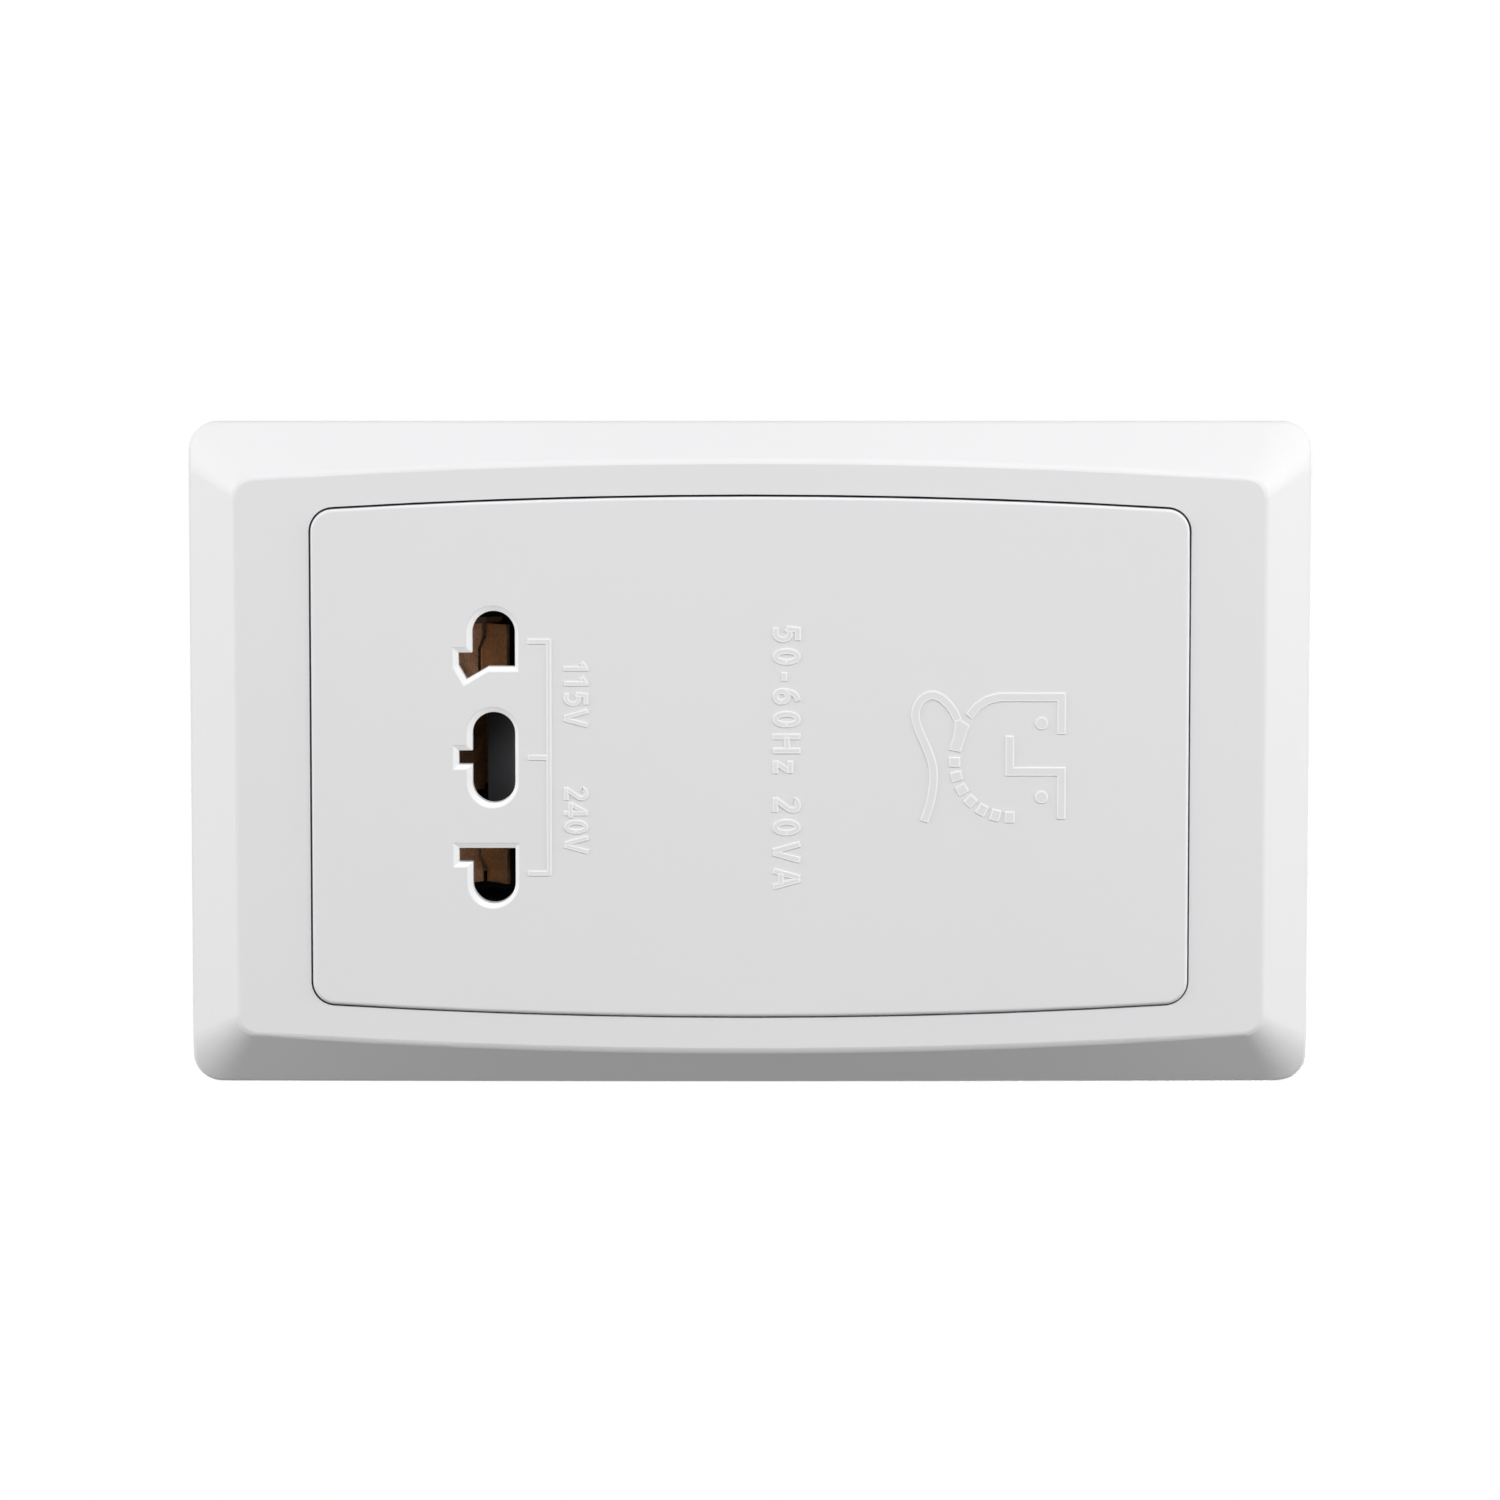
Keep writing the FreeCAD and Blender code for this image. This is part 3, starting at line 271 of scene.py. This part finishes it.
def plain_metal(name, colour, dark, roughness, along=(1, 1, 1), line=0.25 * MM):
    """Rolled or turned metal: fine lines along the work, with a little tarnish in patches."""
    finish = Finish(bpy.data.materials.new(name))
    lines = finish.noise(finish.place(along), 1 / line, 3.0)
    tarnish = finish.noise(finish.place(), 260.0, 4.0)
    return finish.close({
        "Base Color": finish.blend(tarnish * 0.7 + lines * 0.3, dark, colour),
        "Metallic": 1.0,
        "Roughness": roughness + (tarnish - 0.5) * 0.25 + (lines - 0.5) * 0.15,
        "Normal": finish.bump(lines, 0.004 * MM),
    })


def clip_metal(name, upper, lower, pinch_line):
    """Bronze strip, dull and mottled, with the leaves under the pinch line of the outer clips paler."""
    finish = Finish(bpy.data.materials.new(name))
    at = finish.place()
    under = finish.rise(finish.axis(at, "Z"), pinch_line, pinch_line - 0.2 * MM)
    outer = finish.rise(abs(finish.axis(at, "X")), 6.0 * MM, 8.0 * MM)
    mottle = finish.noise(at, 3200.0, 3.0)
    tarnish = finish.noise(at, 420.0, 4.0)
    share = finish.rise(mottle * 0.6 + tarnish * 0.4, 0.33, 0.67)
    pale = finish.blend(share, shade(lower, 0.68), shade(lower, 1.3))
    brown = finish.blend(share, shade(upper, 0.66), shade(upper, 1.34))
    middle = finish.blend(share, shade(upper, 0.65), shade(upper, 1.3))
    return finish.close({
        "Base Color": finish.blend(outer, middle, finish.blend(under, brown, pale)),
        "Metallic": 0.9,
        "Roughness": 0.5 + (tarnish - 0.5) * 0.25 + (mottle - 0.5) * 0.2,
        "Normal": finish.bump(mottle, 0.01 * MM),
    })


def laminations(name, colour, dark):
    """Stacked silicon steel sheets under a coat of varnish."""
    finish = Finish(bpy.data.materials.new(name))
    at = finish.place()
    sheets = finish.bands(at, "Y", 0.5 * MM, 0.15)
    stain = finish.noise(at, 160.0, 4.0)
    return finish.close({
        "Base Color": finish.blend(sheets * 0.6 + stain * 0.4, dark, colour),
        "Metallic": 0.75,
        "Roughness": 0.5 - sheets * 0.12 + (stain - 0.5) * 0.2,
        "Coat Weight": 0.35,
        "Normal": finish.bump(sheets, 0.05 * MM),
    })


def wound_wire(name, colour, dark, pitch):
    """Enamelled wire, layer wound, one turn to every pitch of height."""
    finish = Finish(bpy.data.materials.new(name))
    at = finish.place()
    turns = finish.bands(at, "Z", pitch, 0.25)
    stray = finish.noise(at, 420.0, 3.0)
    return finish.close({
        "Base Color": finish.blend(turns * 0.75 + stray * 0.25, dark, colour),
        "Metallic": 0.85,
        "Roughness": 0.34 + (stray - 0.5) * 0.2,
        "Coat Weight": 0.5,
        "Normal": finish.bump(turns, 0.12 * MM),
    })


def sleeve(name, colour):
    """Extruded insulation with a faint waviness along its length."""
    finish = Finish(bpy.data.materials.new(name))
    wave = finish.noise(finish.place(), 520.0)
    return finish.close({
        "Base Color": finish.blend(wave, shade(colour, 0.88), shade(colour, 1.05)),
        "Roughness": 0.36 + (wave - 0.5) * 0.2,
        "Normal": finish.bump(wave, 0.015 * MM),
    })


FINISH_OF_SLOT = {
    # The white front's second colour is the painted highlight on the rims and mark edges
    "white_plastic": front_moulding("white_front", (0.80, 0.80, 0.81), (0.94, 0.94, 0.94, 1), 0.48),
    "inner_white_plastic": moulding("white_inner", (0.72, 0.72, 0.71), 0.5, 0.6 * MM, 0.015 * MM),
    "black_plastic": moulding("black_inner", (0.018, 0.014, 0.018), 0.5, 0.4 * MM, 0.01 * MM, 0.2),
    "grey_plastic": moulding("slide_grey", (0.072, 0.070, 0.076), 0.5, 0.4 * MM, 0.008 * MM, 0.1),
    "plunger_plastic": moulding("plunger_red", (0.42, 0.05, 0.04), 0.4),
    "bobbin_plastic": moulding("bobbin_nylon", (0.62, 0.58, 0.48), 0.45, 0.5 * MM, 0.01 * MM, 0.06),
    "contact_brass": clip_metal("clip_bronze", (0.35, 0.205, 0.105), (0.70, 0.50, 0.37), -34.9 * MM),
    "terminal_brass": plain_metal("terminal_brass", (0.72, 0.54, 0.26, 1), (0.50, 0.35, 0.15, 1), 0.3,
                                  (1, 1, 0.1)),
    "screw_steel": plain_metal("zinc_screw", (0.66, 0.66, 0.64, 1), (0.45, 0.45, 0.44, 1), 0.3,
                               (1, 0.15, 1)),
    "spring_steel": plain_metal("spring_wire", (0.60, 0.60, 0.60, 1), (0.38, 0.38, 0.39, 1), 0.28,
                                line=0.15 * MM),
    "core_steel": laminations("core_steel", (0.19, 0.18, 0.175, 1), (0.045, 0.043, 0.045, 1)),
    "winding_copper": wound_wire("coil_copper", (0.55, 0.20, 0.08, 1), (0.16, 0.045, 0.02, 1), 0.42 * MM),
    "lead_brown": sleeve("lead_brown", (0.16, 0.065, 0.03)),
    "lead_blue": sleeve("lead_blue", (0.03, 0.11, 0.42)),
    "lead_white": sleeve("lead_white", (0.70, 0.70, 0.68)),
}

for row in frame["record"]["subparts"]:
    for material_slot in frame["nodes"][row["node"]].material_slots:
        material_slot.material = FINISH_OF_SLOT[row["material_slot"]]


# Pieces

def to_mesh(bm, name):
    bmesh.ops.recalc_face_normals(bm, faces=bm.faces)
    mesh = bpy.data.meshes.new(name)
    bm.to_mesh(mesh)
    bm.free()
    return mesh


def finish_piece(name, bm, slot, body="base"):
    """Hangs a finished shape on a body and gives it its slot's finish."""
    piece = bpy.data.objects.new(name, to_mesh(bm, name))
    piece.data.materials.append(FINISH_OF_SLOT[slot])
    bpy.context.scene.collection.objects.link(piece)
    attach(piece, body)
    return piece


def fair_line(points):
    """A smooth line through points, as a chain of short steps."""
    curve = bpy.data.curves.new("fair_line", "CURVE")
    curve.dimensions = "3D"
    curve.resolution_u = 6
    spline = curve.splines.new("BEZIER")
    spline.bezier_points.add(len(points) - 1)
    for knot, (across, up) in zip(spline.bezier_points, points):
        knot.co = (across, up, 0)
        knot.handle_left_type = knot.handle_right_type = "AUTO"
    holder = bpy.data.objects.new("fair_line", curve)
    bpy.context.scene.collection.objects.link(holder)
    mesh = bpy.data.meshes.new_from_object(holder.evaluated_get(bpy.context.evaluated_depsgraph_get()))
    steps = [(v.co.x, v.co.y) for v in mesh.vertices]
    bpy.data.objects.remove(holder)
    bpy.data.meshes.remove(mesh)
    return steps


def oval(across, up, half_width, half_height):
    turns = [math.radians(15 * step) for step in range(25)]
    return [(across + half_width * math.cos(turn), up + half_height * math.sin(turn)) for turn in turns]


def stroke(bm, points, width, sink):
    """A flat stroke of even width along points in millimetres, with mitred corners."""
    path = [Vector(point) for point in points]
    near = None
    for index, point in enumerate(path):
        before = (point - path[index - 1]).normalized() if index else (path[1] - point).normalized()
        after = (path[index + 1] - point).normalized() if index + 1 < len(path) else before
        side = (before + after).normalized().orthogonal()
        side *= width / 2 / max(SHARPEST_MITRE, side.dot(before.orthogonal()))
        pair = [bm.verts.new((end.x * MM, sink, end.y * MM)) for end in (point + side, point - side)]
        if near:
            bm.faces.new((near[0], near[1], pair[1], pair[0]))
        near = pair


def raise_mark(name, bm, place=ON_PANEL, slot="white_plastic", lift=MARK_RISE):
    """Lifts flat faces into a mark with a band of painted highlight along its upper edges, set where place
    says.
    """
    # The inset band is tagged for the painted highlight in the white front's finish
    painted_highlight = bm.faces.layers.float.new("painted_highlight")
    lifted = bmesh.ops.extrude_face_region(bm, geom=bm.faces[:])["geom"]
    bmesh.ops.translate(bm, vec=(0, -lift - MARK_SINK, 0),
                        verts=[part for part in lifted if isinstance(part, bmesh.types.BMVert)])
    top = [part for part in lifted if isinstance(part, bmesh.types.BMFace)]
    for strip in bmesh.ops.inset_region(bm, faces=top, thickness=MARK_BAND, use_even_offset=True)["faces"]:
        strip[painted_highlight] = 1.0
    bm.normal_update()
    rim = [e for e in bm.edges if all(v.co.y < -0.8 * lift for v in e.verts)
           and any(abs(f.normal.y) < 0.5 for f in e.link_faces)]
    bmesh.ops.bevel(bm, geom=rim, offset=MARK_EDGE, affect="EDGES", segments=2, profile=0.5, material=-1)
    bmesh.ops.transform(bm, matrix=place, verts=bm.verts)
    finish_piece(name, bm, slot)


def stroke_mark(name, strokes, width, **how):
    """Raised strokes, each a hair lower than the last, so that crossing strokes share no plane."""
    bm = bmesh.new()
    for count, points in enumerate(strokes):
        stroke(bm, points, width, MARK_SINK + (count % 4) * STROKE_STEP)
    raise_mark(name, bm, **how)


# Each figure is its width, then its strokes, drawn to FIGURE_HEIGHT in millimetres
FIGURES = {
    "1": (1.50, [[(0.90, 0.00), (0.90, 3.15)], [(0.82, 2.86), (0.12, 2.30)]]),
    "2": (1.80, [fair_line([(0.28, 2.28), (0.48, 2.68), (0.92, 2.86), (1.40, 2.64), (1.46, 2.08),
                            (1.10, 1.46), (0.34, 0.42)]),
                 [(0.08, 0.30), (1.72, 0.30)]]),
    "4": (2.05, [[(1.42, 0.00), (1.42, 3.10)], [(1.32, 2.92), (0.30, 0.98)], [(0.05, 0.86), (2.00, 0.86)]]),
    "5": (1.85, [[(1.68, 2.85), (0.48, 2.85), (0.34, 1.55)],
                 fair_line([(0.32, 1.62), (0.92, 1.94), (1.46, 1.62), (1.54, 0.92), (1.08, 0.36),
                            (0.20, 0.38)])]),
    "6": (1.85, [oval(0.92, 1.00, 0.62, 0.70),
                 fair_line([(0.31, 1.02), (0.42, 1.95), (0.82, 2.62), (1.46, 2.86)])]),
    "0": (1.85, [oval(0.92, 1.575, 0.62, 1.27)]),
    "-": (1.20, [[(0.10, 1.30), (1.10, 1.30)]]),
    "H": (2.20, [[(0.30, 0.00), (0.30, 3.15)], [(1.90, 0.00), (1.90, 3.15)], [(0.30, 1.62), (1.90, 1.62)]]),
    "z": (1.65, [[(0.12, 1.98), (1.50, 1.98)], [(1.32, 1.90), (0.32, 0.36)], [(0.10, 0.30), (1.55, 0.30)]]),
    "V": (2.30, [[(0.22, 3.12), (1.06, 0.05)], [(2.08, 3.12), (1.24, 0.05)]]),
    "A": (2.30, [[(0.22, 0.03), (1.06, 3.10)], [(2.08, 0.03), (1.24, 3.10)], [(0.52, 0.92), (1.78, 0.92)]]),
    "L": (1.75, [[(0.30, 3.15), (0.30, 0.30), (1.70, 0.30)]]),
    "N": (2.20, [[(0.30, 0.00), (0.30, 3.15)], [(1.90, 0.00), (1.90, 3.15)], [(0.36, 2.95), (1.84, 0.20)]]),
    " ": (1.10, []),
}


def figure_strokes(words, height, length=None):
    """Strokes of a row of figures about its middle, spread to a given length."""
    size = height / FIGURE_HEIGHT
    widths = [FIGURES[sign][0] * size for sign in words]
    spread = (length - sum(widths)) / (len(words) - 1) if length else 0
    start = -(length or sum(widths)) / 2
    strokes = []
    for sign, width in zip(words, widths):
        strokes += [[(start + across * size, up * size - height / 2) for across, up in points]
                    for points in FIGURES[sign][1]]
        start += width + spread
    return strokes


def on_panel(across, up):
    return ON_PANEL @ Matrix.Translation((across * MM, 0, up * MM))


# Figures and rating by the pin apertures

stroke_mark("figures_low_voltage", figure_strokes("115V", FIGURE_HEIGHT, 8.5), FIGURE_STROKE,
            place=on_panel(-8.2, FIGURES_UP))
stroke_mark("figures_high_voltage", figure_strokes("240V", FIGURE_HEIGHT, 8.7), FIGURE_STROKE,
            place=on_panel(8.15, FIGURES_UP))
stroke_mark("rating_line", figure_strokes("50-60Hz 20VA", 3.6, 34.2), 0.74, place=on_panel(0, 4.73))
stroke_mark("voltage_bracket", [[(-15.07, -28.77), (-15.07, -26.03), (15.07, -26.03), (15.07, -28.77)],
                                [(0, -28.77), (0, -26.03)]], 0.64)

# The raised shaver sign

stroke_mark("sign_profile", [
    [(-5.32, 28.29), (-6.63, 29.38), (-7.45, 30.65), (-7.85, 32.20), (-7.85, 40.30), (-3.05, 40.30)],
    [(-2.81, 33.61), (1.82, 33.61), (1.82, 40.30), (8.0, 40.30)]], SIGN_STROKE)

bm = bmesh.new()
for eye_x in (-4.45, 5.15):
    dot = bmesh.ops.create_circle(bm, cap_ends=True, segments=24, radius=0.82 * MM)["verts"]
    at_eye = Matrix.Translation((eye_x * MM, MARK_SINK, 37.74 * MM))
    bmesh.ops.transform(bm, matrix=at_eye @ STAND_UP, verts=dot)
raise_mark("sign_eyes", bm)

stroke_mark("sign_cord", [fair_line([
    (-4.81, 26.87), (-5.90, 26.38), (-7.18, 25.38), (-7.85, 24.47), (-8.09, 23.56), (-7.72, 22.47),
    (-6.72, 21.66), (-5.45, 21.38), (-4.00, 21.71), (-2.36, 22.38), (-0.63, 23.11), (1.00, 23.62),
    (2.64, 23.76), (4.45, 23.60), (6.36, 23.20), (8.33, 22.56)])], SIGN_STROKE)

bm = bmesh.new()
bm.faces.new([bm.verts.new((across * MM, MARK_SINK, up * MM)) for across, up in (
    (-5.00, 27.29), (-4.69, 27.56), (-4.18, 28.42), (-0.69, 27.25), (-1.00, 25.74), (-2.36, 26.20),
    (-3.63, 26.47), (-4.72, 26.42))])
raise_mark("sign_shaver", bm)

bristle_centre = Vector((0.58, 33.65))
bristles = []
for step in range(7):
    angle = math.radians(15 * step)
    outward = Vector((math.sin(angle), -math.cos(angle)))
    bristles.append([bristle_centre + outward * reach for reach in (6.46, 7.90)])
stroke_mark("sign_bristles", bristles, 1.25)

# Wire signs over the mains terminals, read from behind

wire_signs = {
    "terminal_live": figure_strokes("L", WIRE_SIGN_HEIGHT),
    "terminal_earth": [[(0, 2.5), (0, 0.4)], [(-2.2, 0.4), (2.2, 0.4)], [(-1.4, -0.9), (1.4, -0.9)],
                       [(-0.6, -2.2), (0.6, -2.2)]],
    "terminal_neutral": figure_strokes("N", WIRE_SIGN_HEIGHT),
}
for terminal, strokes in wire_signs.items():
    low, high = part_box(terminal)
    over = Matrix.Translation(((low[0] + high[0]) / 2, HOUSING_BACK, WIRE_SIGN_UP))
    stroke_mark("sign_" + terminal, strokes, 0.8, place=over @ TURN_ROUND, slot="inner_white_plastic",
                lift=WIRE_SIGN_RISE)

# The slide's return spring, with closed ends

spring_low, spring_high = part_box("slide_spring")
wire = 0.25 * MM
coil_x = (spring_low[0] + spring_high[0]) / 2
coil_y = (spring_low[1] + spring_high[1]) / 2
coil_radius = (spring_high[0] - spring_low[0]) / 2 - wire
coil_length = spring_high[2] - spring_low[2] - 2 * wire
closed_rise = 2.2 * wire
open_rise = (coil_length - 2 * closed_rise) / 3
steps_a_turn = 36

bm = bmesh.new()
ring = bmesh.ops.create_circle(bm, cap_ends=False, segments=10, radius=wire)
at_foot = Matrix.Translation((coil_x + coil_radius, coil_y, spring_low[2] + wire))
bmesh.ops.transform(bm, matrix=at_foot @ STAND_UP, verts=ring["verts"])
end = bm.edges[:]
bmesh.ops.contextual_create(bm, geom=end)
for rise in (closed_rise, open_rise, open_rise, open_rise, closed_rise):
    turn = bmesh.ops.spin(bm, geom=end, cent=(coil_x, coil_y, 0), axis=(0, 0, 1), angle=2 * math.pi,
                          dvec=(0, 0, rise / steps_a_turn), steps=steps_a_turn,
                          use_merge=False, use_duplicate=False)
    end = [part for part in turn["geom_last"] if isinstance(part, bmesh.types.BMEdge)]
bmesh.ops.contextual_create(bm, geom=end)
spring = finish_piece("return_spring", bm, "spring_steel")
for polygon in spring.data.polygons:
    polygon.use_smooth = True
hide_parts("slide_spring")
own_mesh(spring)


# Studio

def area_light(name, place, size, power):
    """A round soft light that faces the part."""
    lamp = bpy.data.lights.new(name, "AREA")
    lamp.shape = "DISK"
    lamp.size = size
    lamp.energy = power
    holder = bpy.data.objects.new(name, lamp)
    holder.location = place
    holder.rotation_euler = (-Vector(place)).to_track_quat("-Z", "Y").to_euler()
    holder.visible_camera = False
    bpy.context.scene.collection.objects.link(holder)


area_light("side_light", (-0.98, -1.10, 0.35), 1.0, 14.4)
area_light("low_light", (-0.20, -0.22, -0.75), 0.6, 3.15)
area_light("high_light", (-0.20, -0.22, 0.75), 0.6, 3.3)
area_light("back_light", (0.5, 1.15, 0.45), 0.9, 13.0)

studio = bpy.data.worlds.new("studio")
bpy.context.scene.world = studio
sky = Finish(studio)
seen = sky.seen()
strength = seen + (1 - seen) * AMBIENT
backdrop = sky.node("ShaderNodeBackground", {}, {"Color": (1, 1, 1, 1), "Strength": strength})
sky.node("ShaderNodeOutputWorld", {}, {"Surface": backdrop})

bm = bmesh.new()
bmesh.ops.create_circle(bm, cap_ends=True, segments=96, radius=FLOOR_RADIUS)
bmesh.ops.translate(bm, vec=(0, 0, FLOOR_DROP), verts=bm.verts)
floor = bpy.data.objects.new("floor", to_mesh(bm, "floor"))
bpy.context.scene.collection.objects.link(floor)
cloth = Finish(bpy.data.materials.new("floor_paper"))
at = cloth.place()
paper = cloth.noise(at, 60.0, 3.0)
floor_x, floor_y = cloth.axis(at, "X"), cloth.axis(at, "Y")
far = cloth.rise(floor_x * floor_x + floor_y * floor_y, 0.1, 4.0)
matt = cloth.node("ShaderNodeBsdfPrincipled", {}, {
    "Base Color": cloth.blend(paper, (0.86, 0.86, 0.86, 1), (0.9, 0.9, 0.9, 1)), "Roughness": 0.9})
white = cloth.node("ShaderNodeEmission", {}, {"Color": (1, 1, 1, 1), "Strength": 1.0})
surface = cloth.node("ShaderNodeMixShader", {}, {0: cloth.seen() * (0.96 + far * 0.04), 1: matt, 2: white})
cloth.node("ShaderNodeOutputMaterial", {}, {"Surface": surface})
floor.data.materials.append(cloth.owner)

# The camera lies on its side, because the plate is pictured with its top to the right

camera = bpy.data.cameras.new("camera")
camera.lens = 137.7
camera.sensor_width = 36.0
camera.clip_start = 0.01
camera.clip_end = 20.0
eye = bpy.data.objects.new("camera", camera)
bpy.context.scene.collection.objects.link(eye)
forward = Vector((math.sin(CAMERA_PITCH), math.cos(CAMERA_PITCH), 0))
upward = Vector((-math.cos(CAMERA_PITCH), math.sin(CAMERA_PITCH), 0))
turned = Matrix((forward.cross(upward), upward, -forward)).transposed().to_4x4()
eye.matrix_world = Matrix.Translation(CAMERA_AIM - forward * CAMERA_DISTANCE) @ turned
bpy.context.scene.camera = eye
bpy.context.scene.view_settings.view_transform = "Standard"
